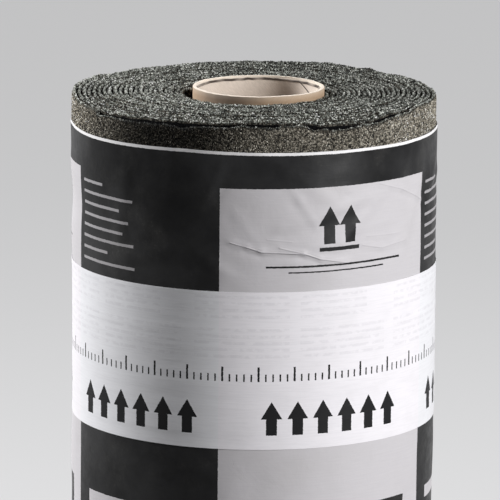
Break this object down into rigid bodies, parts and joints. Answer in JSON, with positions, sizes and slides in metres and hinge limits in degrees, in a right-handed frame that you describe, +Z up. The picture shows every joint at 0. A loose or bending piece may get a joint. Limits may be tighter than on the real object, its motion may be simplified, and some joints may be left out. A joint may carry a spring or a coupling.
{
  "type": "roll of roofing felt",
  "caption": "Mineral-surfaced roofing felt wound on a cardboard tube, in a paper wrapper held shut by a band of adhesive tape, standing on its end.",
  "frame": {"origin": "the middle of the end that the roll stands on", "axes": "+Z up along the roll's axis; the viewer in front looks along +Y"},
  "size_m": [0.2072, 0.208, 0.7026],
  "materials": {
    "felt": "bitumen sheet under crushed mineral granules, matt grey-green and rough, dark bitumen between the turns",
    "tube_board": "spiral-wound kraft board, matt tan, pale cut rim",
    "wrapper_paper": "coated paper printed in black and white panels, satin, with fine creases",
    "tape": "white self-adhesive film, glossy, with fine ripples along it"
  },
  "bodies": {
    "root": {"felt_roll": "felt", "core_tube": "tube_board", "paper_wrapper": "wrapper_paper", "tape_band": "tape"}
  },
  "joints": []
}
